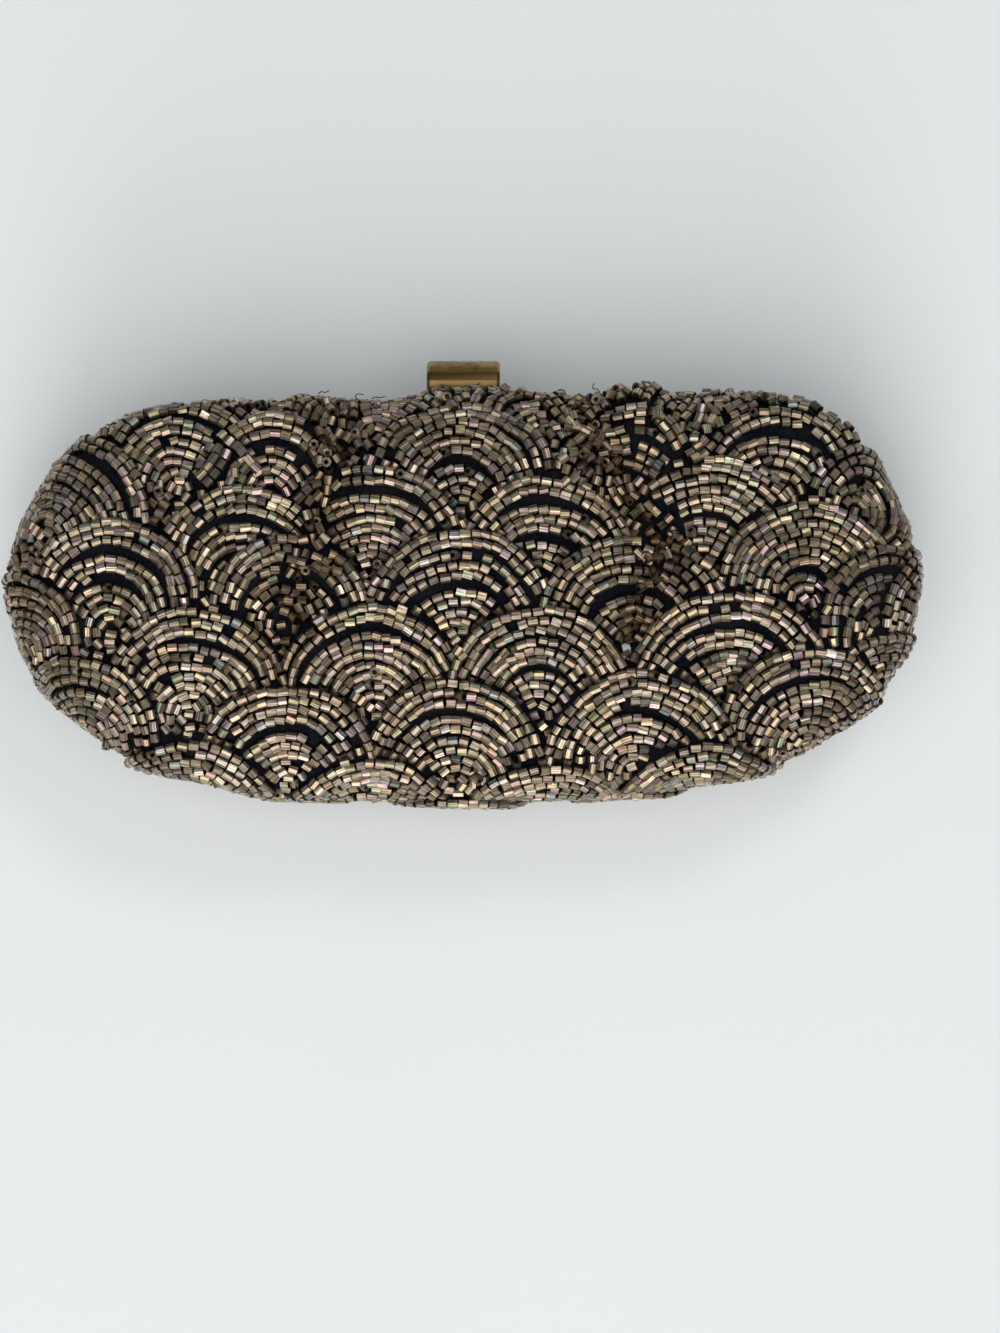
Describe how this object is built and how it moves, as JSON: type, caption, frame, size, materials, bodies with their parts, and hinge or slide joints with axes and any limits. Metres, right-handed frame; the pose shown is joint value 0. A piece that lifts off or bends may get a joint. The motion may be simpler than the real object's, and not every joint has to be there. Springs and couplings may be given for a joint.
{
  "type": "beaded evening clutch",
  "caption": "Hard-sided oval evening clutch: two padded, bead-covered shells in brass frames, hinged along the bottom and shut by a sprung lever clasp.",
  "frame": {"origin": "middle of the flat of the rear face, which the clutch lies on", "axes": "+X along the clutch's width, +Y from the hinge towards the clasp, +Z from the rear face to the front face"},
  "size_m": [0.2121, 0.1031, 0.0555],
  "materials": {
    "beads": "bronze lustre, faceted",
    "cover_cloth": "plain woven, dark navy",
    "wadding": "soft wadding",
    "shell": "pressed, matt",
    "lining": "satin",
    "brass": "antique, brushed",
    "steel": "bright"
  },
  "bodies": {
    "rear_case": {"rear_frame": "brass", "rear_shell": "shell", "rear_padding": "wadding", "rear_cover": "cover_cloth", "rear_beadwork": "beads", "rear_lining": "lining", "pocket_panel": "lining", "pocket_binding": "lining", "hinge_leaf_rear": "brass", "hinge_pin": "steel", "hinge_rivet_rear_1": "brass", "hinge_rivet_rear_2": "brass", "hinge_rivet_rear_3": "brass", "clasp_bracket": "brass", "clasp_pin": "steel", "clasp_spring": "steel", "clasp_rivet_1": "brass", "clasp_rivet_2": "brass"},
    "front_case": {"front_frame": "brass", "front_shell": "shell", "front_padding": "wadding", "front_cover": "cover_cloth", "front_beadwork": "beads", "front_lining": "lining", "hinge_leaf_front": "brass", "hinge_rivet_front_1": "brass", "hinge_rivet_front_2": "brass", "hinge_rivet_front_3": "brass", "strike_plate": "brass", "strike_rivet_1": "brass", "strike_rivet_2": "brass"},
    "clasp": {"clasp_bar": "brass"}
  },
  "joints": [
    {"name": "front_open", "type": "hinge", "parent": "rear_case", "child": "front_case", "pos_m": [0, -0.0444, 0.026], "axis": [1, 0, 0], "range_deg": [0, 95]},
    {"name": "clasp_lift", "type": "hinge", "parent": "rear_case", "child": "clasp", "pos_m": [0, 0.0484, 0.0244], "axis": [-1, 0, 0], "range_deg": [0, 40], "stiffness_Nm_per_rad": 0.01, "springref_deg": -17.19}
  ]
}
